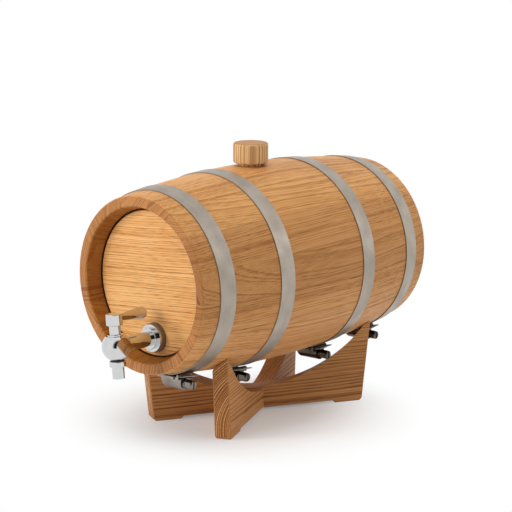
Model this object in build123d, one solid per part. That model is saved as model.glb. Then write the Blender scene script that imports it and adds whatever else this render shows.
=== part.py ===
"""Small wooden aging barrel with a chrome tap, lying on a stand of two crossed boards.

Millimetres. +Z is up, the barrel's axis runs along Y and the tap looks towards -Y.
The origin is on the floor, in the middle of the object's box.
"""
import os
from math import atan, cos, degrees, radians, sin, sqrt, tan

from build123d import *

# Barrel
BARREL_LENGTH = 255.0
BELLY_RADIUS = 77.5
END_RADIUS = 67.5
WALL = 12.7
RIM_INNER_RADIUS = 59.4
RIM_ROUNDING = 2.0
HEAD_RECESS = 12.9
HEAD_THICKNESS = 12.0
HEAD_TONGUE = 4.8
HEAD_BEVEL = 0.7
HEAD_SHOULDER = 2.4
HEAD_GAP = 1.2
CROZE_DEPTH = 3.2
CROZE_PLAY = 0.1
AXIS_HEIGHT = 121.7
# Joints between the staves, in degrees from +X towards +Z. The staves differ in width.
STAVE_JOINTS = (16, 39, 61, 81, 108, 132, 156, 188, 202, 218, 242, 266, 289, 309, 334, 356)
BUNG_STAVE_START = 81

# Bung and bunghole
BUNG_RADIUS = 13.7
BUNG_HEIGHT = 16.0
BUNG_LIFT = 1.4
BUNG_Y = -7.2
BUNG_NECK_TOP_RADIUS = 8.9
BUNG_NECK_END_RADIUS = 7.9
BUNG_NECK_LENGTH = 15.0
BUNG_PLAY = 0.06
BUNG_ROUNDING = 1.8
BUNG_HOLE_SPARE = 5.0

# Steel bands with worm clamps. The angle is where a band leaves the barrel, from the bottom towards +X.
BAND_WIDTH = 14.0
BAND_THICKNESS = 0.8
BAND_GAP = 0.05
BAND_OVERLAP_START = 9.6
TAIL_STRAIGHT = 12.0
TAIL_BEND_RADIUS = 80.0
TAIL_BEND = 13.0
BAND_SLOT = (1.3, 7.0)
BAND_SLOT_PITCH = 2.6
BAND_SLOT_SLANT = 8.0
BELLY_BAND_Y = 46.7
END_BAND_Y = 105.3
BANDS = {
    "front_end": (-END_BAND_Y, 2.0),
    "front_belly": (-BELLY_BAND_Y, 1.6),
    "rear_belly": (BELLY_BAND_Y, 1.6),
    "rear_end": (END_BAND_Y, 2.0),
}

# Clamp housing and screw, along the tail (x) and away from the barrel (z)
HOUSING_TIP = -1.5
HOUSING_END = 23.5
HOUSING_HALF_WIDTH = 8.0
HOUSING_SHEET = 0.8
HOUSING_FLOOR = 1.0
HOUSING_TIP_CHAMFER = (1.6, 3.0)
LIP_START = 0.5
CASE_RADIUS = 4.8
CASE_NOSE = 1.0
SADDLE_LENGTH = 1.8
SADDLE_DROP = 1.0
SCREW_AXIS = 4.8
SCREW_RADIUS = 3.4
SCREW_ROOT_RADIUS = 2.6
SCREW_PITCH = 2.6
SCREW_TURNS = 6
# Where a rib's rise, crest and fall end, as shares of the pitch
SCREW_RIB = (0.33, 0.5, 0.85)
SCREW_NECK_RADIUS = 2.4
SCREW_NECK_PLAY = 0.07
SCREW_END_PLAY = 0.4
SCREW_COLLAR_RADIUS = 3.7
SCREW_COLLAR = 1.6
SCREW_HEX = 6.4
SCREW_HEAD = 7.2
SCREW_CROWN = (0.6, 1.0)
SCREW_SLOT = (1.2, 1.8)
RIVET_RADIUS = 1.1
RIVET_DOME = 0.7
RIVET_X = 19.3

# Tap, about the centre of its ball
TAP_TURN = 5.3
TAP_DROP = 41.0
TAP_REACH = 27.3
BALL_RADIUS = 11.0
BALL_TOP = 8.2
BALL_BOTTOM = -9.8
BALL_FLAT = 8.3
SHANK_RADIUS = 5.7
SHANK_THREAD_RADIUS = 5.2
WATERWAY_RADIUS = 3.2
FLANGE_RING = (8.3, 2.6)
FLANGE_DISC = (10.5, 2.4)
FLANGE_ROUNDING = 0.6
FLANGE_GASKET = (11.2, 3.2)
INNER_GASKET = (9.0, 2.0)
LOCK_NUT_HEX = 17.0
LOCK_NUT_LENGTH = 6.0
SHANK_SPARE = 2.0
HEAD_HOLE_RADIUS = 5.5
THREAD_PLAY = 0.05
PLUG_RADIUS = 4.94
PLUG_PLAY = 0.06
PLUG_BOTTOM = -5.5
PLUG_TOP = 4.5
PORT_RADIUS = 3.0
STEM_RADIUS = 2.7
STEM_PLAY = 0.07
STEM_TOP = 22.0
SEAL_HEIGHT = 12.6
SEAL_WIRE_RADIUS = 0.6
BONNET_THREAD = (5.95, 4.9)
BONNET_COLLAR = (5.9, 9.3)
BONNET_NECK = (4.25, 15.8)
HUB_RADIUS = 6.2
HUB_BOTTOM = 16.2
HUB_TOP = 24.7
HUB_ROUNDING = 0.6
LEVER_HEIGHT = 21.0
LEVER_ROOT = (2.0, 3.2)
LEVER_NECK_RADIUS = 2.5
LEVER_END_RADIUS = 4.6
LEVER_LENGTH = 30.2
LEVER_ROUNDING = 2.6
SPOUT_SEAL = (4.9, 0.9)
SPOUT_COLLAR = (6.2, 4.3)
SPOUT_COLLAR_ROUNDING = 0.5
SPOUT_TUBE_RADIUS = 4.6
SPOUT_END = -23.8
SPIGOT = (4.2, 4.3)

# Stand
BOARD_THICKNESS = 13.0
BOARD_ANGLE = 26.4
BOARD_HALF_LENGTH = 88.7
BOARD_FLARE = 6.0
BOARD_TOP = 70.0
CRADLE_RADIUS = 124.3
CRADLE_HEIGHT_UPPER = 19.5
CRADLE_HEIGHT_LOWER = 17.2
CRADLE_CLEARANCE = 0.3
FOOT_LENGTH = 23.0
FOOT_HEIGHT = 2.0
FOOT_CORNER = 2.0
BOARD_EASING = 0.8
LAP_HEIGHT = 10.0
LAP_PLAY = 0.1

# How far a cutter runs past what it cuts
CUT_SPARE = 1.0

# Worked out from the driving dimensions
HALF_LENGTH = BARREL_LENGTH / 2
SAG = BELLY_RADIUS - END_RADIUS
BEND_RADIUS = (HALF_LENGTH**2 + SAG**2) / (2 * SAG)
HEAD_FACE = HALF_LENGTH - HEAD_RECESS
TAP_Y = -HALF_LENGTH - TAP_REACH
FRONT_REACH = HALF_LENGTH + TAP_REACH + BALL_RADIUS
BARREL_Y = (FRONT_REACH - HALF_LENGTH) / 2
# A positive turn about this axis goes from +X towards +Z, counter-clockwise from the front.
BARREL_AXIS = Axis((0, 0, 0), (0, -1, 0))
BARREL_PLACE = Pos(0, BARREL_Y, AXIS_HEIGHT)


def outer_radius(y):
    """Radius of the barrel's outside at a distance y from its middle."""
    return BELLY_RADIUS - BEND_RADIUS + sqrt(BEND_RADIUS**2 - y**2)


def inner_radius(y):
    """Radius of the barrel's inside, a bend about the same centre."""
    return BELLY_RADIUS - BEND_RADIUS + sqrt((BEND_RADIUS - WALL) ** 2 - y**2)


def slope(y):
    """How far the barrel's outside leans at y, in degrees, positive towards +Y."""
    return degrees(atan(y / sqrt(BEND_RADIUS**2 - y**2)))


def tube(outside, inside, low, high):
    """A ring or tube about Z between two heights."""
    middle = (low + high) / 2
    length = high - low
    return Pos(0, 0, middle) * (Cylinder(outside, length) - Cylinder(inside, length))


def rod(radius, low, high):
    """A round bar about Z between two heights."""
    return Pos(0, 0, (low + high) / 2) * Cylinder(radius, high - low)


def block(x, y, z):
    """A box between two ends along each axis."""
    middle = Pos((x[0] + x[1]) / 2, (y[0] + y[1]) / 2, (z[0] + z[1]) / 2)
    return middle * Box(x[1] - x[0], y[1] - y[0], z[1] - z[0])


def turned(points):
    """A solid turned about Z from its half outline of (radius, height) points."""
    return revolve(Plane.XZ * make_face(Polyline(*points, close=True)), Axis.Z)


def stave_section():
    """Lengthwise section of a stave: bend, rims, tapered chimes and croze grooves."""
    chime_radius = inner_radius(HEAD_FACE)
    groove_radius = chime_radius + CROZE_DEPTH
    groove_outside = HEAD_FACE - HEAD_SHOULDER
    groove_inside = groove_outside - HEAD_TONGUE - 2 * CROZE_PLAY
    end = [
        (END_RADIUS, HALF_LENGTH),
        (RIM_INNER_RADIUS, HALF_LENGTH),
        (chime_radius, HEAD_FACE),
        (chime_radius, groove_outside),
        (groove_radius, groove_outside),
        (groove_radius, groove_inside),
        (inner_radius(groove_inside), groove_inside),
    ]
    other_end = [(radius, -y) for radius, y in reversed(end)]
    outline = Curve() + [
        ThreePointArc(other_end[-1], (BELLY_RADIUS, 0), end[0]),
        Polyline(*end),
        ThreePointArc(end[-1], (BELLY_RADIUS - WALL, 0), other_end[0]),
        Polyline(*other_end),
    ]
    section = make_face(outline)
    rims = [v for v in section.vertices() if abs(abs(v.Y) - HALF_LENGTH) < RIM_ROUNDING]
    return fillet(rims, RIM_ROUNDING)


def bung_neck(play=0.0, spare=0.0):
    """The bung's tapered neck about Z from its shoulder down; play and spare make the hole's cutter."""
    taper = (BUNG_NECK_TOP_RADIUS - BUNG_NECK_END_RADIUS) / BUNG_NECK_LENGTH
    top = BUNG_NECK_TOP_RADIUS + play + taper * spare
    end = BUNG_NECK_END_RADIUS + play - taper * spare
    length = BUNG_NECK_LENGTH + 2 * spare
    return Pos(0, 0, -BUNG_NECK_LENGTH / 2) * Cone(end, top, length)


def bung_place():
    """Where the bung's shoulder sits, just above the top of the belly."""
    return Pos(0, BUNG_Y, BELLY_RADIUS + BUNG_LIFT)


def make_staves():
    """All staves, each a slice of the turned shell between two of the joints."""
    section = stave_section()
    staves = {}
    ends = STAVE_JOINTS[1:] + (STAVE_JOINTS[0] + 360,)
    number = 0
    for start, end in zip(STAVE_JOINTS, ends):
        stave = revolve(section, BARREL_AXIS, end - start).rotate(BARREL_AXIS, start)
        if start == BUNG_STAVE_START:
            staves["bung_stave"] = stave - bung_place() * bung_neck(BUNG_PLAY, BUNG_HOLE_SPARE)
        else:
            number += 1
            staves[f"stave_{number:02d}"] = stave
    return staves


def make_bung():
    """Turned wooden plug: a rounded head on a tapered neck."""
    head = rod(BUNG_RADIUS, 0, BUNG_HEIGHT)
    head = fillet(head.edges().filter_by(GeomType.CIRCLE), BUNG_ROUNDING)
    return bung_place() * (head + bung_neck())


def make_head():
    """Round barrel head about Z, outer face at z = 0, bevelled inside, with a tongue for the groove."""
    tongue_radius = inner_radius(HEAD_FACE) + CROZE_DEPTH - 2 * CROZE_PLAY
    face_radius = inner_radius(HEAD_FACE) - HEAD_GAP
    tongue_end = HEAD_SHOULDER + HEAD_TONGUE
    return turned([
        (0, 0),
        (face_radius - HEAD_BEVEL, 0),
        (face_radius, -HEAD_BEVEL),
        (face_radius, -HEAD_SHOULDER),
        (tongue_radius, -HEAD_SHOULDER),
        (tongue_radius, -tongue_end),
        (face_radius, -tongue_end),
        (face_radius - 2 * HEAD_BEVEL, -HEAD_THICKNESS),
        (0, -HEAD_THICKNESS),
    ])


def make_heads():
    """Front head with the tap's hole, and the plain rear head."""
    face = HEAD_FACE - CROZE_PLAY
    hole = Pos(0, -TAP_DROP, 0) * Cylinder(HEAD_HOLE_RADIUS, 3 * HEAD_THICKNESS)
    front = Pos(0, -face, 0) * Rot(90, 0, 0) * (make_head() - hole)
    rear = Pos(0, face, 0) * Rot(-90, 0, 0) * make_head()
    return {"front_head": front.rotate(BARREL_AXIS, TAP_TURN), "rear_head": rear}


def clamp_plane(y, angle):
    """Plane on a band where it leaves the barrel: x along the tail, z away from the barrel."""
    lean = radians(slope(y))
    turn = radians(angle)
    radius = outer_radius(y) + BAND_GAP
    outward = Vector(sin(turn), 0, -cos(turn))
    along = Vector(cos(turn), 0, sin(turn))
    normal = outward * cos(lean) + Vector(0, 1, 0) * sin(lean)
    return Plane(origin=outward * radius + Vector(0, y, 0), x_dir=along, z_dir=normal)


def make_band(y, angle):
    """One flat band: round the barrel, over its own start and on as a slotted tail that bends."""
    low, high = y - BAND_WIDTH / 2, y + BAND_WIDTH / 2
    inside = [(outer_radius(low) + BAND_GAP, low), (outer_radius(high) + BAND_GAP, high)]
    outside = [(radius + BAND_THICKNESS, at) for radius, at in reversed(inside)]
    section = make_face(Polyline(*inside, *outside, close=True))
    leave = angle - 90
    start = leave + BAND_OVERLAP_START
    ring = revolve(section, BARREL_AXIS, 360 - BAND_OVERLAP_START).rotate(BARREL_AXIS, start)
    plane = clamp_plane(y, angle)
    leaving = section.rotate(BARREL_AXIS, leave)
    straight = plane.x_dir * TAIL_STRAIGHT
    inwards = Vector(-sin(radians(angle)), 0, cos(radians(angle)))
    bend_axis = Axis(plane.origin + straight + inwards * TAIL_BEND_RADIUS, BARREL_AXIS.direction)
    tail = extrude(leaving, TAIL_STRAIGHT, dir=plane.x_dir)
    tail += revolve(Pos(*straight) * leaving, bend_axis, TAIL_BEND)
    slot = plane * Pos(TAIL_STRAIGHT, 0, 0) * Rot(0, 0, BAND_SLOT_SLANT) * Box(*BAND_SLOT, BAND_WIDTH / 2)
    pitch = degrees(BAND_SLOT_PITCH / TAIL_BEND_RADIUS)
    slots = [slot.rotate(bend_axis, pitch * step) for step in range(1, int(TAIL_BEND / pitch))]
    return ring + (tail - slots)


def worm_case(radius, nose, end, bottom):
    """Half-round case over the worm along x, with upright sides and a slanted nose."""
    top = SCREW_AXIS + radius
    rise = top - bottom
    upright = Pos(0, (bottom + SCREW_AXIS) / 2) * Rectangle(2 * radius, SCREW_AXIS - bottom)
    above_floor = Pos(0, bottom + rise / 2) * Rectangle(2 * radius, rise)
    arch = Plane.YZ * (upright + (Pos(0, SCREW_AXIS) * Circle(radius) & above_floor))
    case = Pos(nose, 0, 0) * extrude(arch, end - nose)
    over = top + CUT_SPARE
    before = nose - CUT_SPARE
    nose_cut = Plane.XZ * make_face(
        Polyline((before, bottom), (nose, bottom), (nose + rise / 2, over), (before, over), close=True)
    )
    return case - extrude(nose_cut, 2 * radius, both=True)


def make_housing():
    """Clamp housing in the clamp plane: floor plate, worm case, side lips, end wall and saddle."""
    width = (-HOUSING_HALF_WIDTH, HOUSING_HALF_WIDTH)
    floor_top = HOUSING_FLOOR + HOUSING_SHEET
    floor = block((HOUSING_TIP, HOUSING_END), width, (HOUSING_FLOOR, floor_top))
    tips = floor.edges().filter_by(Axis.Z).group_by(Axis.X)[0]
    floor = chamfer(tips, *HOUSING_TIP_CHAMFER)
    inner_case = worm_case(
        CASE_RADIUS - HOUSING_SHEET, CASE_NOSE + HOUSING_SHEET, HOUSING_END - SADDLE_LENGTH, HOUSING_FLOOR
    )
    housing = floor + worm_case(CASE_RADIUS, CASE_NOSE, HOUSING_END, HOUSING_FLOOR) - inner_case
    saddle_x = (HOUSING_END - SADDLE_LENGTH, HOUSING_END)
    saddle_top = -BAND_GAP - SADDLE_DROP
    saddle_low = saddle_top - HOUSING_SHEET
    rivet_hole = Rot(90, 0, 0) * Cylinder(RIVET_RADIUS / 2, 3 * HOUSING_HALF_WIDTH)
    for side in (-1, 1):
        lip = sorted((side * HOUSING_HALF_WIDTH, side * (HOUSING_HALF_WIDTH - HOUSING_SHEET)))
        housing += block((LIP_START, HOUSING_END), lip, (BAND_GAP, floor_top))
        housing += block(saddle_x, lip, (saddle_low, floor_top))
    housing -= Pos(RIVET_X, 0, HOUSING_FLOOR) * rivet_hole
    housing += block(saddle_x, width, (saddle_low, saddle_top))
    neck = Pos(HOUSING_END, 0, SCREW_AXIS) * Rot(0, 90, 0)
    return housing - neck * Cylinder(SCREW_NECK_RADIUS + SCREW_NECK_PLAY, 4 * SADDLE_LENGTH)


def make_screw():
    """Worm screw in the clamp plane: ribbed shaft, neck, collar and slotted hexagon head."""
    wall = HOUSING_END - SADDLE_LENGTH
    thread_end = wall - SCREW_END_PLAY
    rise, crest, fall = (SCREW_PITCH * share for share in SCREW_RIB)
    outline = [(0, thread_end - SCREW_TURNS * SCREW_PITCH)]
    for turn in range(SCREW_TURNS):
        rib = thread_end - (SCREW_TURNS - turn) * SCREW_PITCH
        outline += [(SCREW_ROOT_RADIUS, rib), (SCREW_RADIUS, rib + rise)]
        outline += [(SCREW_RADIUS, rib + crest), (SCREW_ROOT_RADIUS, rib + fall)]
    collar = HOUSING_END + SCREW_END_PLAY
    head = collar + SCREW_COLLAR
    outline += [
        (SCREW_ROOT_RADIUS, thread_end),
        (SCREW_NECK_RADIUS, thread_end),
        (SCREW_NECK_RADIUS, collar),
        (SCREW_COLLAR_RADIUS, collar),
        (SCREW_COLLAR_RADIUS, head),
        (0, head),
    ]
    shaft = turned(outline)
    tip = head + SCREW_HEAD
    corner = SCREW_HEX / sqrt(3)
    hexagon = Pos(0, 0, head) * extrude(RegularPolygon(corner, 6), SCREW_HEAD)
    crown = turned([
        (0, head),
        (corner, head),
        (corner, tip - SCREW_CROWN[1]),
        (SCREW_HEX / 2 - SCREW_CROWN[0], tip),
        (0, tip),
    ])
    slot = Pos(0, 0, tip) * Box(2 * SCREW_HEX, SCREW_SLOT[0], 2 * SCREW_SLOT[1])
    screw = shaft + (hexagon & crown) - slot
    return Pos(0, 0, SCREW_AXIS) * Rot(0, 90, 0) * screw


def make_rivet(side):
    """Small domed rivet in one of the housing's side lips, head outwards."""
    inside = HOUSING_HALF_WIDTH - HOUSING_SHEET
    shank = rod(RIVET_RADIUS / 2, inside, HOUSING_HALF_WIDTH)
    ball = (RIVET_RADIUS**2 + RIVET_DOME**2) / (2 * RIVET_DOME)
    dome = Pos(0, 0, HOUSING_HALF_WIDTH + RIVET_DOME - ball) * Sphere(ball)
    dome &= rod(ball, HOUSING_HALF_WIDTH, HOUSING_HALF_WIDTH + 2 * RIVET_DOME)
    return Pos(RIVET_X, 0, HOUSING_FLOOR) * Rot(-90 * side, 0, 0) * (shank + dome)


def make_bands():
    """The four bands with their clamp housings, worm screws and rivets."""
    pieces = {}
    rivets = []
    for name, (y, angle) in BANDS.items():
        plane = clamp_plane(y, angle)
        pieces[f"{name}_band"] = make_band(y, angle)
        pieces[f"{name}_clamp_housing"] = plane * make_housing()
        pieces[f"{name}_clamp_screw"] = plane * make_screw()
        rivets += [plane * make_rivet(side) for side in (-1, 1)]
    pieces["clamp_rivets"] = Compound(children=rivets)
    return pieces


def along_shank(shape):
    """Turns a shape made about Z so that it lies along the shank, +Z towards the barrel."""
    return Rot(-90, 0, 0) * shape


def shank_stations():
    """Distances from the ball to the flange's front, the gasket, the head's two faces and the nut."""
    head_outside = TAP_REACH + HEAD_RECESS + CROZE_PLAY
    gasket = head_outside - FLANGE_GASKET[1]
    flange = gasket - FLANGE_DISC[1] - FLANGE_RING[1]
    head_inside = head_outside + HEAD_THICKNESS
    nut = head_inside + INNER_GASKET[1]
    return flange, gasket, head_outside, head_inside, nut


def make_tap_body():
    """Ball body, flat on two sides, with its shank: bored for waterway, plug, bonnet and spout."""
    flange, _, _, _, nut = shank_stations()
    spare = 2 * BALL_RADIUS
    ball = Sphere(BALL_RADIUS) & block((-BALL_FLAT, BALL_FLAT), (-spare, spare), (BALL_BOTTOM, BALL_TOP))
    end = nut + LOCK_NUT_LENGTH + SHANK_SPARE
    body = ball + along_shank(rod(SHANK_RADIUS, 0, flange))
    body += along_shank(rod(SHANK_THREAD_RADIUS, flange, end))
    body -= along_shank(rod(WATERWAY_RADIUS, 0, end))
    body -= rod(PLUG_RADIUS + PLUG_PLAY, PLUG_BOTTOM - PLUG_PLAY, BALL_TOP)
    body -= rod(BONNET_THREAD[0] + THREAD_PLAY, BONNET_THREAD[1] - THREAD_PLAY, BALL_TOP)
    body -= rod(WATERWAY_RADIUS, BALL_BOTTOM, PLUG_BOTTOM)
    spigot_top = BALL_BOTTOM - SPOUT_SEAL[1] + SPIGOT[1]
    return body - rod(SPIGOT[0] + THREAD_PLAY, BALL_BOTTOM, spigot_top + THREAD_PLAY)


def make_tap_mounting():
    """What clamps the shank in the head: stepped flange, two gaskets and the lock nut inside."""
    flange, gasket, head_outside, head_inside, nut = shank_stations()
    bore = SHANK_THREAD_RADIUS + THREAD_PLAY
    step = flange + FLANGE_RING[1]
    ring = tube(FLANGE_RING[0], bore, flange, step)
    disc = tube(FLANGE_DISC[0], bore, step, gasket)
    stepped = ring + disc
    front_edge = stepped.edges().group_by(Axis.Z)[0].sort_by(SortBy.RADIUS)[-1]
    stepped = fillet(front_edge, FLANGE_ROUNDING)
    hexagon = extrude(RegularPolygon(LOCK_NUT_HEX / sqrt(3), 6), LOCK_NUT_LENGTH)
    return {
        "tap_flange": along_shank(stepped),
        "tap_outer_gasket": along_shank(tube(FLANGE_GASKET[0], bore, gasket, head_outside)),
        "tap_inner_gasket": along_shank(tube(INNER_GASKET[0], bore, head_inside, nut)),
        "tap_lock_nut": along_shank(Pos(0, 0, nut) * hexagon - rod(bore, nut, nut + LOCK_NUT_LENGTH)),
    }


def make_tap_valve():
    """What turns with the lever: ported plug and stem, its seal ring, the hub and the lever."""
    groove = SEAL_WIRE_RADIUS + STEM_PLAY
    groove_root = STEM_RADIUS - 2 * SEAL_WIRE_RADIUS
    plug = rod(PLUG_RADIUS, PLUG_BOTTOM, PLUG_TOP) + rod(STEM_RADIUS, PLUG_TOP, STEM_TOP)
    plug -= tube(2 * STEM_RADIUS, groove_root, SEAL_HEIGHT - groove, SEAL_HEIGHT + groove)
    plug -= rod(PORT_RADIUS, PLUG_BOTTOM, 0) + Sphere(PORT_RADIUS)
    plug -= Rot(0, 90, 0) * rod(PORT_RADIUS, 0, 2 * PLUG_RADIUS)
    seal = Pos(0, 0, SEAL_HEIGHT) * Torus(STEM_RADIUS - SEAL_WIRE_RADIUS, SEAL_WIRE_RADIUS)

    hub = rod(HUB_RADIUS, HUB_BOTTOM, HUB_TOP)
    hub = fillet(hub.edges().filter_by(GeomType.CIRCLE), HUB_ROUNDING)
    hub -= rod(STEM_RADIUS + THREAD_PLAY, HUB_BOTTOM, STEM_TOP + THREAD_PLAY)
    lever_place = Pos(0, 0, LEVER_HEIGHT) * Rot(-90, 0, 0)
    hub -= lever_place * rod(LEVER_ROOT[0] + THREAD_PLAY, LEVER_ROOT[1], 2 * HUB_RADIUS)

    lever = turned([
        (0, LEVER_ROOT[1]),
        (LEVER_ROOT[0], LEVER_ROOT[1]),
        (LEVER_ROOT[0], HUB_RADIUS),
        (LEVER_NECK_RADIUS, HUB_RADIUS),
        (LEVER_END_RADIUS, LEVER_LENGTH - LEVER_ROUNDING),
        (LEVER_END_RADIUS, LEVER_LENGTH),
        (0, LEVER_LENGTH),
    ])
    lever = fillet(lever.edges().group_by(Axis.Z)[-1].filter_by(GeomType.CIRCLE), LEVER_ROUNDING)
    return {"tap_plug": plug, "tap_stem_seal": seal, "tap_hub": hub, "tap_lever": lever_place * lever}


def make_tap_fittings():
    """Bonnet over the plug, and the spout with its seal under the ball."""
    bore = STEM_RADIUS + STEM_PLAY
    bonnet = tube(BONNET_THREAD[0], bore, BONNET_THREAD[1], BALL_TOP)
    bonnet += tube(BONNET_COLLAR[0], bore, BALL_TOP, BONNET_COLLAR[1])
    bonnet += tube(BONNET_NECK[0], bore, BONNET_COLLAR[1], BONNET_NECK[1])
    seal_bottom = BALL_BOTTOM - SPOUT_SEAL[1]
    collar_bottom = seal_bottom - SPOUT_COLLAR[1]
    collar = rod(SPOUT_COLLAR[0], collar_bottom, seal_bottom)
    collar = fillet(collar.edges().filter_by(GeomType.CIRCLE), SPOUT_COLLAR_ROUNDING)
    spout = collar + rod(SPIGOT[0], seal_bottom, seal_bottom + SPIGOT[1])
    spout += rod(SPOUT_TUBE_RADIUS, SPOUT_END, collar_bottom)
    spout -= rod(WATERWAY_RADIUS, SPOUT_END, seal_bottom + SPIGOT[1])
    return {
        "tap_bonnet": bonnet,
        "tap_spout_seal": tube(SPOUT_SEAL[0], SPIGOT[0] + THREAD_PLAY, seal_bottom, BALL_BOTTOM),
        "tap_spout": spout,
    }


def make_tap():
    """The whole tap, set in the front head and turned with it."""
    pieces = {"tap_body": make_tap_body(), **make_tap_mounting(), **make_tap_valve(), **make_tap_fittings()}
    place = Pos(0, TAP_Y, -TAP_DROP)
    return {name: (place * piece).rotate(BARREL_AXIS, TAP_TURN) for name, piece in pieces.items()}


def board_outline():
    """Face of a stand board in the XZ plane, before the cradle is cut: flared ends and two feet."""
    flare = tan(radians(BOARD_FLARE))
    end = BOARD_HALF_LENGTH
    foot = end - FOOT_LENGTH
    half = [
        (foot - FOOT_HEIGHT, FOOT_HEIGHT),
        (foot, 0),
        (end - FOOT_CORNER, 0),
        (end + flare * FOOT_CORNER, FOOT_CORNER),
        (end + flare * BOARD_TOP, BOARD_TOP),
    ]
    other_half = [(-x, z) for x, z in reversed(half)]
    return make_face(Polyline(*half, *other_half, close=True))


def make_board(angle, cradle_height, cut_from_top):
    """One board at its angle to the barrel: hollowed along the other board, cut to the belly, half-lapped."""
    board = extrude(Plane.XZ * board_outline(), BOARD_THICKNESS / 2, both=True)
    sides = board.faces().filter_by(Axis.Y).edges()
    board = chamfer(sides, BOARD_EASING)
    other_way = (cos(radians(2 * angle)), sin(radians(2 * angle)), 0)
    hollow = Plane.XZ * Pos(0, cradle_height + CRADLE_RADIUS) * Circle(CRADLE_RADIUS)
    board -= extrude(hollow, BOARD_THICKNESS, dir=other_way, both=True)
    turn = Rot(0, 0, 90 - angle)
    belly = make_face(Curve() + [
        ThreePointArc(
            (END_RADIUS + CRADLE_CLEARANCE, -HALF_LENGTH),
            (BELLY_RADIUS + CRADLE_CLEARANCE, 0),
            (END_RADIUS + CRADLE_CLEARANCE, HALF_LENGTH),
        ),
        Polyline(
            (END_RADIUS + CRADLE_CLEARANCE, HALF_LENGTH),
            (0, HALF_LENGTH),
            (0, -HALF_LENGTH),
            (END_RADIUS + CRADLE_CLEARANCE, -HALF_LENGTH),
        ),
    ])
    board = turn * board - Pos(0, 0, AXIS_HEIGHT) * revolve(belly, BARREL_AXIS)
    play = LAP_PLAY / 2
    span = (LAP_HEIGHT - play, BOARD_TOP) if cut_from_top else (-CUT_SPARE, LAP_HEIGHT + play)
    slot_width = BOARD_THICKNESS / 2 + LAP_PLAY
    slot = block((-BOARD_HALF_LENGTH, BOARD_HALF_LENGTH), (-slot_width, slot_width), span)
    return board - Rot(0, 0, 90 + angle) * slot


def make_stand():
    """The two crossed boards; the first is slotted from below, the second from above."""
    upper = make_board(BOARD_ANGLE, CRADLE_HEIGHT_UPPER, False)
    lower = make_board(-BOARD_ANGLE, CRADLE_HEIGHT_LOWER, True)
    return {
        "stand_upper_board": Pos(0, BARREL_Y, 0) * upper,
        "stand_lower_board": Pos(0, BARREL_Y, 0) * lower,
    }


def main():
    os.makedirs("parts", exist_ok=True)
    barrel = {**make_staves(), **make_heads(), "bung": make_bung(), **make_bands(), **make_tap()}
    pieces = {name: BARREL_PLACE * piece for name, piece in barrel.items()}
    pieces.update(make_stand())
    for name, piece in pieces.items():
        export_step(piece, f"parts/{name}.step")
    print(len(pieces), "pieces")


main()
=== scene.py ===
# %% [markdown]
# # A small wooden barrel on a crossed stand
#
# This lesson dresses a finished construction model. The solids of the barrel, its bands, clamps, tap and
# stand already have the right shapes, so the work here is what a solid doesn't have: wood with growth
# rings that run through the piece, drawn steel, bright chrome, rubber, light and a camera. Everything is
# in metres and in the frame of the construction model.

# %% Load the solids
import math

import bpy
from mathutils import Matrix, Vector


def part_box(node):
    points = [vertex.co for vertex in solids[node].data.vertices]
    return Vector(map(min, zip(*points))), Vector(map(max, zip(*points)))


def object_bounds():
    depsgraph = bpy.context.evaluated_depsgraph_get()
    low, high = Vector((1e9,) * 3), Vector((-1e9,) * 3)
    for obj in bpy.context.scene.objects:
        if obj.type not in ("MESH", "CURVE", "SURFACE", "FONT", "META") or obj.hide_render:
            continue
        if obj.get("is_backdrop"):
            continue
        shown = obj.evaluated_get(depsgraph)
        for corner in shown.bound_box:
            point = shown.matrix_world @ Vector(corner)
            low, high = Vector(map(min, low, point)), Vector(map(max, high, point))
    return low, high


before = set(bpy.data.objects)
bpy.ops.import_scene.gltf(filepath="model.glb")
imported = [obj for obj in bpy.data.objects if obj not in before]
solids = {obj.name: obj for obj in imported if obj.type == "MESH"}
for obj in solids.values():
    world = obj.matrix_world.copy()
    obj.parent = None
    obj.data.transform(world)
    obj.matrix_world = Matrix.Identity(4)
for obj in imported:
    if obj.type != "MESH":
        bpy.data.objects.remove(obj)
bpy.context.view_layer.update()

MM = 0.001
PER_MM = (1 / MM, 1 / MM, 1 / MM)
bpy.ops.object.select_all(action="DESELECT")

# %% [markdown]
# ## The camera
#
# The barrel is seen from the front right and a little above, through a long lens, so that its far end is
# hardly smaller than its near end. A lens guessed by eye can put one end right, but never both, so place,
# aim and focal length come from the lines that the rims, bands and boards draw in the picture.

# %% Camera
CAMERA_PLACE = Vector((1039.8, -1079.95, 442.2)) * MM
CAMERA_AIM = Vector((0.0, 18.03, 125.24)) * MM
SENSOR_WIDTH = 36.0
FOCAL_LENGTH = 137.57
look = CAMERA_AIM - CAMERA_PLACE
bpy.ops.object.camera_add(location=CAMERA_PLACE, rotation=look.to_track_quat("-Z", "Y").to_euler())
camera = bpy.context.object
camera.data.sensor_width = SENSOR_WIDTH
camera.data.lens = FOCAL_LENGTH
bpy.context.scene.camera = camera
bpy.context.scene.view_settings.view_transform = "Standard"
print("camera", round(look.length, 3), "m from its aim")

# %% [markdown]
# ## Writing shaders as sums
#
# A material is a net of nodes, and a net typed out node by node is hard to read. A strand stands for one
# socket of that net. Adding or multiplying strands adds the Math nodes, so a formula for growth rings can
# be written as a formula. Every other kind of node comes from one method, which first makes the settings
# and then fills the sockets with numbers or strands.

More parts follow.
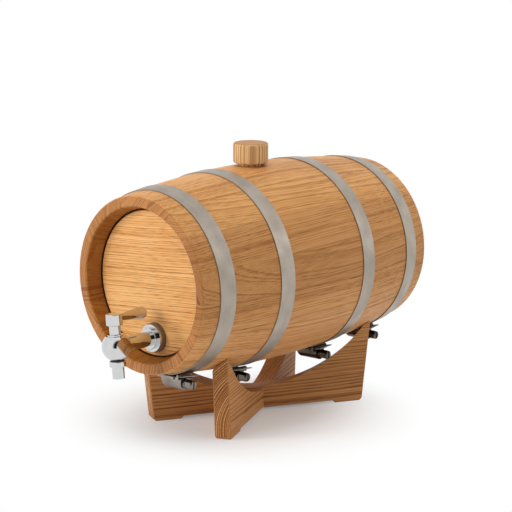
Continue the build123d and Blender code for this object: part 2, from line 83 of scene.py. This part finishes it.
# %% Strands
class Strand:
    """One output socket of a net, ready for sums."""

    def __init__(self, net, socket):
        self.net = net
        self.socket = socket

    def __add__(self, other):
        return self.net.maths("ADD", self, other)

    def __radd__(self, other):
        return self.net.maths("ADD", other, self)

    def __sub__(self, other):
        return self.net.maths("SUBTRACT", self, other)

    def __rsub__(self, other):
        return self.net.maths("SUBTRACT", other, self)

    def __mul__(self, other):
        return self.net.maths("MULTIPLY", self, other)

    def __rmul__(self, other):
        return self.net.maths("MULTIPLY", other, self)

    def __truediv__(self, other):
        return self.net.maths("DIVIDE", self, other)

    def __rtruediv__(self, other):
        return self.net.maths("DIVIDE", other, self)


print("strands ready")

# %% Nets
class Net:
    """A node tree that is being filled."""

    def __init__(self, tree):
        self.tree = tree

    def node(self, kind, settings=None, sockets=None, out=0):
        node = self.tree.nodes.new("ShaderNode" + kind)
        for name, value in (settings or {}).items():
            if name == "stops":
                while len(node.color_ramp.elements) < len(value):
                    node.color_ramp.elements.new(1.0)
                for element, (place, colour) in zip(node.color_ramp.elements, value):
                    element.position = place
                    element.color = (*colour, 1.0)
            else:
                setattr(node, name, value)
        for name, value in (sockets or {}).items():
            self.feed(node.inputs[name], value)
        return Strand(self, node.outputs[out])

    def feed(self, socket, value):
        if isinstance(value, Strand):
            self.tree.links.new(value.socket, socket)
        elif socket.type == "RGBA":
            socket.default_value = (*value, 1.0)
        else:
            socket.default_value = value

    def maths(self, operation, first, second=0.0):
        return self.node("Math", {"operation": operation}, {0: first, 1: second})

    def vector(self, operation, first, second=(0.0, 0.0, 0.0), third=None, out=0):
        sockets = {0: first, 1: second}
        if third is not None:
            sockets[2] = third
        return self.node("VectorMath", {"operation": operation}, sockets, out)

    def smooth_step(self, value, start, end, low=0.0, high=1.0):
        """From low to high while the value goes from start to end, with a soft bend at both."""
        sockets = {"Value": value, 1: start, 2: end, 3: low, 4: high}
        return self.node("MapRange", {"interpolation_type": "SMOOTHSTEP"}, sockets)


print("nets ready")

# %% Finishes
class Finish(Net):
    """A material with one surface shader, named for what it is on the barrel."""

    def __init__(self, name, constants):
        self.material = bpy.data.materials.new(name)
        self.material.use_nodes = True
        super().__init__(self.material.node_tree)
        self.shader = self.tree.nodes["Principled BSDF"]
        for socket, value in constants.items():
            self.feed(self.shader.inputs[socket], value)
        self.place = self.node("TexCoord", out="Object")

    def part(self, vector, axis):
        return self.node("SeparateXYZ", {}, {"Vector": vector}, axis)

    def clamp(self, value):
        return self.node("Clamp", {}, {"Value": value})

    def noise(self, vector, scale, detail, out="Fac"):
        sockets = {"Vector": vector, "Scale": scale, "Detail": detail}
        return self.node("TexNoise", {"noise_dimensions": "3D"}, sockets, out)

    def noise_along(self, value, scale):
        sockets = {"W": value, "Scale": scale, "Detail": 1.0}
        return self.node("TexNoise", {"noise_dimensions": "1D"}, sockets, "Fac")

    def ramp(self, value, stops):
        return self.node("ValToRGB", {"stops": stops}, {"Fac": value}, "Color")

    def mix(self, share, first, second, blend="MIX"):
        settings = {"data_type": "RGBA", "blend_type": blend}
        return self.node("Mix", settings, {0: share, 6: first, 7: second}, 2)

    def bump(self, height, strength, depth):
        sockets = {"Strength": strength, "Distance": depth, "Height": height}
        return self.node("Bump", {}, sockets, "Normal")

    def surface(self, **inputs):
        for name, value in inputs.items():
            self.feed(self.shader.inputs[name.replace("_", " ")], value)

    def put_on(self, *names):
        for name in names:
            solids[name].material_slots[0].material = self.material


print("finishes ready")

# %% [markdown]
# ## The floor
#
# The barrel stands on a white sweep. A floor could be lit until it turns white, but then the barrel would
# be overlit too. So it has a pale colour of its own near the barrel, which holds the shadow, and blends
# into a plain white further away. Only the eye and mirrors see that white: it throws no light on the
# wood.

# %% Who sees the white
def seen_in_mirror(net):
    """1 for rays that come from a mirror or through glass."""
    glossy_ray = net.node("LightPath", out="Is Glossy Ray")
    clear_ray = net.node("LightPath", out="Is Transmission Ray")
    return net.maths("MAXIMUM", glossy_ray, clear_ray)


def seen_by_eye_or_mirror(net):
    """1 for the camera's own rays and for those that come from a mirror or through glass."""
    camera_ray = net.node("LightPath", out="Is Camera Ray")
    return net.maths("MAXIMUM", camera_ray, seen_in_mirror(net))


WHITE = (1.0, 1.0, 1.0)
print("white is", WHITE)

# %% Floor
FLOOR_SIZE = 14.0
FLOOR_PAINT = {"Base Color": (0.93, 0.925, 0.92), "Roughness": 0.9, "Specular IOR Level": 0.1}
FLOOR_FADE = (0.05, 0.155)
FLOOR_WHITE_NEAR = 0.22
bpy.ops.mesh.primitive_plane_add(size=FLOOR_SIZE, location=(0.0, 0.0, 0.0))
floor = bpy.context.object
floor.name = "studio_floor"
floor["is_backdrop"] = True
sweep = Finish("white_sweep", FLOOR_PAINT)
distance = sweep.vector("LENGTH", sweep.place, out="Value")
whiteness = sweep.smooth_step(distance, *FLOOR_FADE, FLOOR_WHITE_NEAR)
white = sweep.node("Emission", {}, {"Color": WHITE, "Strength": 1.0})
share = whiteness * seen_by_eye_or_mirror(sweep)
lit = Strand(sweep, sweep.shader.outputs[0])
blended = sweep.node("MixShader", {}, {0: share, 1: lit, 2: white})
sweep.feed(sweep.tree.nodes["Material Output"].inputs["Surface"], blended)
floor.data.materials.append(sweep.material)
print("floor", FLOOR_SIZE, "m wide")

# %% [markdown]
# ## The room
#
# The room has three faces. The camera sees plain white. The wood is lit by a weak, even grey. Bright
# metal shows the white behind the barrel and a dim corner to the right of the camera. A plain white room
# would be simpler, but chrome with nothing dark to mirror looks like white paint.

# %% Room
ROOM_LIGHT = 0.23
DIM_CORNER = Vector((0.93, -0.30, 0.22)).normalized()
DIM_EDGE = (0.55, 0.78)
DIM_LEVEL = 0.02
world = bpy.data.worlds.new("studio_room")
world.use_nodes = True
bpy.context.scene.world = world
room = Net(world.node_tree)
ray = room.node("TexCoord", out="Generated")
towards = room.vector("DOT_PRODUCT", ray, tuple(DIM_CORNER), out="Value")
mirrored = room.smooth_step(towards, *DIM_EDGE, 1.0, DIM_LEVEL)
plain = room.node("LightPath", out="Is Camera Ray") * (1.0 - ROOM_LIGHT) + ROOM_LIGHT
in_mirror = seen_in_mirror(room)
backdrop = room.tree.nodes["Background"]
room.feed(backdrop.inputs["Color"], WHITE)
room.feed(backdrop.inputs["Strength"], in_mirror * mirrored + (1.0 - in_mirror) * plain)
print("room light", ROOM_LIGHT)

# %% [markdown]
# ## The lamps
#
# Four soft boxes light the barrel. The one at the front left throws the tap's soft shadow to the right
# across the head, and a weaker one in front fills that shadow. An overhead box lights the top of the
# belly, and a wide one far to the right and behind keeps that side from going flat. Soft boxes show as
# white blots in a chrome ball, so mirrors see only the last one, which the steel bands need for their
# shine.

# %% Lamps
LAMP_AIM = Vector((0.0, 0.0, 0.1))


def add_lamp(name, place, size, level, in_mirrors=False):
    """A square soft box whose light on a facing surface makes a white one as bright as the level says."""
    direction = LAMP_AIM - Vector(place)
    turn = direction.to_track_quat("-Z", "Y").to_euler()
    bpy.ops.object.light_add(type="AREA", location=place, rotation=turn)
    lamp = bpy.context.object
    lamp.name = name
    lamp.data.shape = "SQUARE"
    lamp.data.size = size
    lamp.data.energy = level * (math.pi * direction.length) ** 2
    lamp.visible_glossy = in_mirrors
    print(name, round(lamp.data.energy, 1), "W")


add_lamp("left_box", (-1.35, -2.2, 1.0), 0.8, 0.44)
add_lamp("front_box", (-0.2, -2.5, 0.7), 0.7, 0.19)
add_lamp("overhead_box", (0.2, 0.3, 2.2), 2.4, 0.77)
add_lamp("right_box", (2.1, 1.15, 1.2), 2.2, 0.16, in_mirrors=True)

# %% [markdown]
# ## Wood that runs through the piece
#
# Wood is a bundle of cones, nearly cylinders, about the middle of a tree. Painted lines would stop at an
# edge, so here every piece of wood remembers where that middle, the pith, was: a frame of millimetres
# with its z up the trunk. The distance from the pith, bent by slow and quick noise, gives the year rings
# on the long faces and on the end grain at once.

# %% The trunk
SIDE_HINT = Vector((0.31, 0.17, 0.93))


def in_trunk(finish, up, pith):
    """Millimetres from the pith, with z up the trunk."""
    side = up.cross(SIDE_HINT).normalized()
    turn = Matrix((side, up.cross(side), up))
    shift = -(turn @ Vector(pith)) / MM
    pose = {"Location": shift, "Rotation": turn.to_euler("XYZ"), "Scale": PER_MM}
    return finish.node("Mapping", {"vector_type": "POINT"}, {"Vector": finish.place, **pose})


def drawn_out(finish, place, stretch, scale, detail, out="Fac"):
    """Noise that is drawn out along the trunk: the smaller the stretch, the longer its marks."""
    return finish.noise(finish.vector("MULTIPLY", place, (1.0, 1.0, stretch)), scale, detail, out)


print("trunk ready")

# %% Year rings
SLOW_BEND = 9.0
QUICK_BEND = 1.3
YEAR_SWAY = 3.0
YEAR_SWAY_SCALE = 0.13
YEAR_SEED = 7.0
YEAR_FALL = ((0.0, 0.9), (0.08, 1.0), (0.24, 0.68), (0.42, 0.2), (0.78, 0.06), (0.92, 0.0), (1.0, 0.9))
FAINTEST_YEAR = 0.4


def year_lines(finish, trunk, moved, ring, bend, seed):
    """1 where a year starts, falling to 0 before the next, with some years fainter than others."""
    slow = drawn_out(finish, moved, 0.25, 0.022, 2.0, "Color")
    quick = drawn_out(finish, moved, 0.14, 0.11, 2.0, "Color")
    bent = finish.vector("MULTIPLY_ADD", slow, (bend * SLOW_BEND, bend * SLOW_BEND, 0.0), trunk)
    bent = finish.vector("MULTIPLY_ADD", quick, (bend * QUICK_BEND, bend * QUICK_BEND, 0.0), bent)
    flat = finish.vector("MULTIPLY", bent, (1.0, 1.0, 0.0))
    reach = finish.vector("LENGTH", flat, out="Value")
    years = reach / ring + finish.noise_along(reach + seed * YEAR_SEED, YEAR_SWAY_SCALE) * YEAR_SWAY
    phase = finish.maths("FRACT", years)
    year = finish.maths("FLOOR", years)
    strong = finish.node("TexWhiteNoise", {"noise_dimensions": "1D"}, {"W": year}, "Value")
    spring = finish.ramp(phase, [(place, (level,) * 3) for place, level in YEAR_FALL])
    return spring * (FAINTEST_YEAR + (1.0 - FAINTEST_YEAR) * strong)


print("years fall over", len(YEAR_FALL), "stops")

# %% [markdown]
# This is a ring-porous wood: each year starts with a row of open pores, which a long face cuts into fine
# dark dashes, so the ring lines are broken rather than drawn through. Streaks and broad clouds come on
# top. All of it is added up to one number, the grain, and a ramp turns that into colour. End grain drinks
# oil in another way, so the faces that look along the trunk get tones of their own.

# %% Wood
SEED_STEP = Vector((37.0, 11.0, 53.0))
PORE_SIZE = 1.9
PORE_CONTRAST = 6.0
PORES_BETWEEN_YEARS = 0.3
STREAK_STRETCH = 0.006
CLOUD_SIZE = 0.03
CLOUD_SHARE = 0.6
GRAIN_LIFT = 0.07
END_LINES = 0.85
END_STREAKS = 0.7
END_LIFT = 0.08
END_TURN = (0.3, 0.75)


def wood(
    name, along, pith, ring, long_tones, end_tones, seed,
    bend=1.0, lines=0.46, dashes=0.5, streaks=0.75, dash_length=40.0, gloss=0.22,
):
    """A finish whose rings run about a line through the pith, in the direction that along gives."""
    finish = Finish(name, {"Specular IOR Level": gloss})
    up = Vector(along).normalized()
    trunk = in_trunk(finish, up, pith)
    moved = finish.vector("ADD", trunk, tuple(SEED_STEP * seed))
    line = year_lines(finish, trunk, moved, ring, bend, seed)

    pore = finish.clamp((drawn_out(finish, moved, 1.0 / dash_length, PORE_SIZE, 2.0) - 0.5) * PORE_CONTRAST)
    pores = pore * (PORES_BETWEEN_YEARS + (1.0 - PORES_BETWEEN_YEARS) * line)
    streak = drawn_out(finish, moved, STREAK_STRETCH, 1.0, 3.0)
    cloud = drawn_out(finish, moved, 0.3, CLOUD_SIZE, 3.0)
    grain = line * lines + pores * dashes + (streak - 0.5) * streaks
    grain = finish.clamp(grain + (cloud - 0.5) * CLOUD_SHARE + GRAIN_LIFT)
    end_grain = finish.clamp(line * END_LINES + (streak - 0.5) * END_STREAKS + END_LIFT)

    facing = finish.vector("DOT_PRODUCT", finish.node("TexCoord", out="Normal"), tuple(up), out="Value")
    end = finish.smooth_step(facing * facing, *END_TURN)
    colour = finish.mix(end, finish.ramp(grain, long_tones), finish.ramp(end_grain, end_tones))
    height = 1.0 - (line * 0.3 + pores * 0.7 + streak * 0.4)
    finish.surface(Roughness=0.42 + 0.16 * grain, Normal=finish.bump(height, 0.3, 0.1 * MM))
    finish.surface(Base_Color=colour)
    return finish, colour


print("wood ready")

# %% [markdown]
# ## The staves
#
# Sixteen staves of uneven width make the shell. Each was sawn from another place in a board, so each gets
# a pith of its own: straight out from the barrel for flat-sawn staves with arched figure, sideways for
# quarter-sawn ones with straight lines. One wood for the whole shell would be less work, but its figure
# would run on from stave to stave. Each row gives the angles between which the stave lies, the turn and
# the distance in millimetres of its pith, and how light it is. That lightness is partly the stave's own
# tone and partly painted light: the staves along the top are lighter and the two on the near side are
# darker, and a darker stave is also made redder.

# %% Stave table
STAVES = {
    "stave_01": (16, 39, 78, 95, 0.86),
    "stave_02": (39, 61, 42, 75, 1.04),
    "stave_03": (61, 81, 66, 85, 1.03),
    "bung_stave": (81, 108, 48, 70, 1.08),
    "stave_04": (108, 132, 62, 70, 1.0),
    "stave_05": (132, 156, 75, 90, 0.97),
    "stave_06": (156, 188, 172, 70, 1.0),
    "stave_07": (188, 202, 84, 90, 0.95),
    "stave_08": (202, 218, 28, 70, 1.05),
    "stave_09": (218, 242, 105, 80, 0.99),
    "stave_10": (242, 266, 96, 80, 1.02),
    "stave_11": (266, 289, 80, 85, 0.98),
    "stave_12": (289, 309, 93, 90, 1.04),
    "stave_13": (309, 334, 70, 85, 1.05),
    "stave_14": (334, 356, 100, 95, 0.95),
    "stave_15": (356, 376, 24, 85, 0.82),
}
STAVE_LONG = [(0.0, (0.71, 0.358, 0.120)), (0.35, (0.53, 0.232, 0.067)), (1.0, (0.19, 0.066, 0.017))]
STAVE_END = [(0.0, (0.51, 0.225, 0.075)), (0.35, (0.40, 0.167, 0.052)), (1.0, (0.20, 0.066, 0.019))]
print("staves", len(STAVES))

# %% Stave wood
BARREL_MIDDLE = Vector((0.0, 19.15, 121.7)) * MM
STAVE_RADIUS = 71
FLAT_SAWN_RING = 2.1
QUARTER_SAWN_MORE = 1.0


def across(angle):
    """Unit vector square to the barrel's axis, in degrees from +X towards +Z."""
    return Vector((math.cos(math.radians(angle)), 0.0, math.sin(math.radians(angle))))


def stave_wood(number, name, middle, pith_turn, pith_reach):
    """The wood of one stave, whose trunk leans a little out of the barrel's axis."""
    pith = BARREL_MIDDLE + across(middle) * STAVE_RADIUS * MM + across(middle + pith_turn) * pith_reach * MM
    along = Vector((0.05 * math.sin(2.4 * number), 1.0, 0.04 * math.cos(1.7 * number)))
    ring = FLAT_SAWN_RING + QUARTER_SAWN_MORE * abs(math.sin(math.radians(pith_turn)))
    return wood(f"{name}_wood", along, pith, ring, STAVE_LONG, STAVE_END, number + 1)


print("barrel's middle", tuple(BARREL_MIDDLE))

# %% [markdown]
# The shell was turned after gluing, so the joints are only hairlines, drawn where a stave's side plane is
# nearer than about a fifth of a millimetre. Inside the rim the wood is made darker, as painted shade in
# the recess. Where a head sits in its groove, a narrow shadow shows as a dark line. A gap that fine would
# be lost in the render, so that shadow is painted: the wall beside the head is dark, and so is the edge
# of the head.

# %% Joints and groove
HEAD_PLANES = (-95.45 * MM, 133.75 * MM)
# Colour of the painted shadow in the groove round each head.
HEAD_SHADE = (0.06, 0.022, 0.008)
GROOVE_RADIUS = 58.5 * MM
PLANE_FADE = 0.3 * MM
WALL_FADE = 0.5 * MM
JOINT_WIDTH = 0.22 * MM


def from_axis(finish):
    """The place as seen from the barrel's middle, and its distance from the barrel's axis."""
    centred = finish.vector("SUBTRACT", finish.place, tuple(BARREL_MIDDLE))
    radius = finish.vector("LENGTH", finish.vector("MULTIPLY", centred, (1.0, 0.0, 1.0)), out="Value")
    return centred, radius


def beside_head(finish, radius):
    """1 on the wall of the groove, from a head's outer face inwards, where the groove's shadow is painted.
    """
    along_barrel = finish.part(finish.place, "Y")
    after_front = finish.clamp((along_barrel - HEAD_PLANES[0]) / PLANE_FADE)
    before_rear = finish.clamp((HEAD_PLANES[1] - along_barrel) / PLANE_FADE)
    near_wall = finish.clamp((GROOVE_RADIUS - radius) / WALL_FADE)
    return after_front * before_rear * near_wall


def at_joint(finish, centred, start, end):
    """1 on the side planes of a stave, 0 from a hairline's width on."""
    gaps = []
    for angle, way in ((start, 1.0), (end, -1.0)):
        square = across(angle + 90) * way
        gaps.append(finish.vector("DOT_PRODUCT", centred, tuple(square), out="Value"))
    return 1.0 - finish.clamp(finish.maths("MINIMUM", *gaps) / JOINT_WIDTH)


# %% Dress the staves
CHIME_EDGE = (60.2 * MM, 59.0 * MM)
CHIME_PAINTED_SHADE = (0.62, 0.48, 0.26)
JOINT_BROWN = (0.16, 0.065, 0.022)
JOINT_SHARE = 0.6
GREEN_FALL = 1.25
BLUE_FALL = 1.45
for number, (name, (start, end, pith_turn, pith_reach, tone)) in enumerate(STAVES.items()):
    stave, colour = stave_wood(number, name, (start + end) / 2, pith_turn, pith_reach)
    # The tone is partly the stave's own and partly painted light and shade; darker tones are also redder.
    shade = (tone, tone**GREEN_FALL, tone**BLUE_FALL)
    colour = stave.mix(1.0, colour, shade, "MULTIPLY")
    centred, radius = from_axis(stave)
    # Painted shade: in the recess inside the rim the wood is made darker.
    inside = stave.smooth_step(radius, *CHIME_EDGE)
    colour = stave.mix(inside, colour, stave.mix(1.0, colour, CHIME_PAINTED_SHADE, "MULTIPLY"))
    # Painted shadow on the groove's wall beside each head.
    colour = stave.mix(beside_head(stave, radius), colour, HEAD_SHADE)
    joint = at_joint(stave, centred, start, end)
    stave.surface(Base_Color=stave.mix(joint * JOINT_SHARE, colour, JOINT_BROWN))
    stave.put_on(name)
print("staves dressed", number + 1)

# %% [markdown]
# ## The heads
#
# Both heads are flat rounds of paler wood, sawn so that the rings cross the face as nearly straight
# lines. The pith lies far above the head, and the pores are cut short, so the dashes are half as long as
# on the staves. The front head was fitted a few degrees out of level, with its tap.

# %% Heads
HEAD_LONG = [(0.0, (0.84, 0.48, 0.19)), (0.35, (0.68, 0.325, 0.10)), (1.0, (0.33, 0.118, 0.030))]
HEAD_END = [(0.0, (0.62, 0.33, 0.13)), (1.0, (0.34, 0.14, 0.045))]
HEAD_RING = 1.8
PITH_ABOVE = 150
PITH_BEHIND = 40
HEAD_EDGE_RADIUS = 55.25 * MM
HEAD_EDGE_FADE = 0.15 * MM
for name, turn, seed in (("front_head", 5.3, 31), ("rear_head", -2.0, 32)):
    low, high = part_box(name)
    pith = (low + high) / 2 + across(90 + turn) * PITH_ABOVE * MM + Vector((0.0, PITH_BEHIND * MM, 0.0))
    head, colour = wood(
        f"{name}_wood", across(turn), pith, HEAD_RING, HEAD_LONG, HEAD_END, seed,
        bend=0.9, lines=0.5, dashes=0.75, streaks=1.3, dash_length=20.0,
    )
    centred, radius = from_axis(head)
    # Painted shadow on the head's rim, where it sits in its groove.
    edge = head.clamp((radius - HEAD_EDGE_RADIUS) / HEAD_EDGE_FADE)
    head.surface(Base_Color=head.mix(edge, colour, HEAD_SHADE))
    head.put_on(name)
    print(name, "dressed")

# %% [markdown]
# ## The bung
#
# The bung was turned with its grain upright. The rings stand as bold light and dark stripes round the
# side and show as lines across the top. Stripes painted round it would not meet those lines, so it is a
# piece of the same kind of wood, with its pith well to one side.

# %% Bung
BUNG_LONG = [(0.0, (0.92, 0.61, 0.30)), (0.35, (0.62, 0.34, 0.14)), (1.0, (0.16, 0.064, 0.022))]
BUNG_END = [(0.0, (0.52, 0.25, 0.088)), (1.0, (0.28, 0.115, 0.036))]
BUNG_RING = 2.0
BUNG_ALONG = (0.02, 0.03, 1.0)
BUNG_PITH = Vector((62, -58, 0.0)) * MM
low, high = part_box("bung")
bung, colour = wood(
    "bung_turned_wood", BUNG_ALONG, (low + high) / 2 + BUNG_PITH, BUNG_RING, BUNG_LONG, BUNG_END, 41,
    bend=0.4, lines=0.95, dashes=0.2,
)
bung.put_on("bung")
print("bung dressed")

# %% [markdown]
# ## The stand
#
# Two boards cross in a half lap. They are darker than the barrel and hardly oiled, so they shine less.
# Their grain runs along the board. On the nearer end the rings stand upright at the foot and lean over
# towards the top, so the pith of that board was low and to its right. There the year lines are lighter
# than the wood between them, the other way round from the long faces, and the end tones say so.

# %% Stand
STAND_LONG = [(0.0, (0.66, 0.32, 0.118)), (0.35, (0.46, 0.208, 0.074)), (1.0, (0.14, 0.053, 0.019))]
STAND_END = [(0.0, (0.20, 0.068, 0.020)), (0.4, (0.42, 0.168, 0.056)), (1.0, (1.0, 0.66, 0.31))]
BOARD_ANGLE = 26.4
BOARD_RING = 1.5
for name, angle, pith_side, pith_height, seed, tone in (
    ("stand_upper_board", 90 - BOARD_ANGLE, -95, -30, 51, 0.95),
    ("stand_lower_board", 90 + BOARD_ANGLE, 50, 2, 52, 1.0),
):
    tones = [(place, [tone * level for level in colour]) for place, colour in STAND_LONG]
    turn = math.radians(angle)
    along = Vector((math.cos(turn), math.sin(turn), 0.0))
    thick = Vector((abs(math.sin(turn)), -math.cos(turn), 0.0))
    pith = Vector((0.0, BARREL_MIDDLE.y, 0.0)) + (thick * pith_side + Vector((0.0, 0.0, pith_height))) * MM
    board, colour = wood(
        f"{name}_wood", along, pith, BOARD_RING, tones, STAND_END, seed,
        bend=0.35, lines=0.6, streaks=0.7, gloss=0.06,
    )
    board.put_on(name)
    print(name, "dressed")

# %% [markdown]
# ## Steel bands and clamps
#
# The bands are drawn strip, with fine scratches that run round the barrel. Noise in x, y and z would
# cross the band at some places, so it is read by the angle about the barrel's axis, where it is long, and
# by the width of the band, where it is very short. The scratches roughen the metal in streaks and stains
# dull it. Low down the steel is painted browner: a painted reflection of the brown wood and the shaded
# floor below. The clamp housings are pressed from the same sort of sheet and are mottled rather than
# streaked. The three under the barrel are painted dark brown, a painted shade and reflection of the wood
# round them, and the front one is painted bright, as lit.

# %% Steel
SCRATCHES_ROUND = 2.2
SCRATCH_WIDTH = 0.5
STAIN_SIZE = 0.07
STAIN_START = 0.3
STAIN_CONTRAST = 2.2
LOW_REFLECTION_TOP = -50.0
LOW_REFLECTION_FADE = 24.0
LOW_REFLECTION_SHARE = 0.65
PAINTED_REFLECTION_BROWN = (0.10, 0.075, 0.055)


def steel(name, bright, dull, streaks, roughness):
    """Metal with scratches round the barrel, stains that make it duller in places, and a painted reflection
    that browns it low down.
    """
    finish = Finish(name, {"Metallic": 1.0})
    centred = finish.vector("MULTIPLY_ADD", finish.place, PER_MM, tuple(-BARREL_MIDDLE / MM))
    height = finish.part(centred, "Z")
    angle = finish.maths("ARCTAN2", height, finish.part(centred, "X"))
    width = finish.part(centred, "Y")
    round_barrel = {"X": angle * SCRATCHES_ROUND, "Y": width / SCRATCH_WIDTH, "Z": 0.0}
    scratch = finish.noise(finish.node("CombineXYZ", {}, round_barrel), 1.0, 3.0)
    stain = finish.clamp((finish.noise(centred, STAIN_SIZE, 3.0) - STAIN_START) * STAIN_CONTRAST)
    worn = scratch * streaks + stain * (1.0 - streaks)
    # Painted reflection of the brown wood and shaded floor below: browner towards the bottom.
    painted_low_reflection = finish.clamp((LOW_REFLECTION_TOP - height) / LOW_REFLECTION_FADE)
    colour = finish.mix(worn, dull, bright)
    finish.surface(Base_Color=finish.mix(painted_low_reflection * LOW_REFLECTION_SHARE, colour, PAINTED_REFLECTION_BROWN))
    finish.surface(Roughness=roughness + 0.12 - 0.2 * worn)
    finish.surface(Normal=finish.bump(scratch, 0.12, 0.05 * MM))
    return finish


print("steel ready")

# %% Bands and clamps
bands = steel("drawn_band_steel", (0.485, 0.425, 0.362), (0.34, 0.297, 0.25), 0.4, 0.40)
bands.put_on("front_end_band", "front_belly_band", "rear_belly_band", "rear_end_band")
# Lit and shaded copies of the clamp steel: the front clamp is painted bright as lit, the others dark brown
# as painted shade.
lit_front_clamp = steel("clamp_steel_painted_light", (0.86, 0.82, 0.76), (0.36, 0.33, 0.29), 0.2, 0.2)
shaded_clamps = steel("clamp_steel_painted_shade", (0.26, 0.225, 0.19), (0.09, 0.07, 0.055), 0.2, 0.2)
clamp_pieces = [name for name in solids if "clamp" in name]
for name in clamp_pieces:
    if name.startswith("front_end"):
        lit_front_clamp.put_on(name)
    else:
        shaded_clamps.put_on(name)
print("clamp pieces dressed", len(clamp_pieces))

# %% [markdown]
# ## The tap
#
# All of the tap is plated: a bright mirror with the least touch of haze where hands and cloths go. Most
# of what one sees in it is the room and the wood, so it needs little of its own. The seals are black
# rubber and the gaskets brown fibre, both matt and a little pitted.

# %% Chrome, rubber and fibre
def speckled(name, constants, size, detail, colours, roughness, rise, pits=0.0):
    """A finish whose colour and roughness change with fine specks, which may also be shallow pits."""
    finish = Finish(name, constants)
    speck = finish.noise(finish.vector("MULTIPLY", finish.place, PER_MM), size, detail)
    finish.surface(Base_Color=finish.mix(speck, *colours), Roughness=roughness + rise * speck)
    if pits:
        finish.surface(Normal=finish.bump(speck, pits, 0.05 * MM))
    return finish


PLATING = ((0.58, 0.585, 0.59), (0.70, 0.70, 0.70))
RUBBER_BLACK = ((0.018, 0.017, 0.016), (0.05, 0.048, 0.046))
FIBRE_BROWN = ((0.16, 0.11, 0.075), (0.27, 0.195, 0.14))
MATT = {"Specular IOR Level": 0.3}
chrome = speckled("plated_chrome", {"Metallic": 1.0}, 0.22, 3.0, PLATING, 0.03, 0.07)
rubber = speckled("seal_rubber_black", MATT, 3.0, 2.0, RUBBER_BLACK, 0.6, 0.25, pits=0.3)
fibre = speckled("gasket_fibre_brown", MATT, 2.0, 3.0, FIBRE_BROWN, 0.7, 0.2, pits=0.3)
print("tap finishes ready")

# %% Dress the tap
tap_pieces = [name for name in solids if name.startswith("tap_")]
for name in tap_pieces:
    if "gasket" in name:
        fibre.put_on(name)
    elif "seal" in name:
        rubber.put_on(name)
    else:
        chrome.put_on(name)
print("tap pieces dressed", len(tap_pieces))

# %% [markdown]
# ## The size
#
# The looks add no size: the box of the dressed barrel is printed.

# %% Size and finish
low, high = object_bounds()
print("box", [round(b - a, 4) for a, b in zip(low, high)])
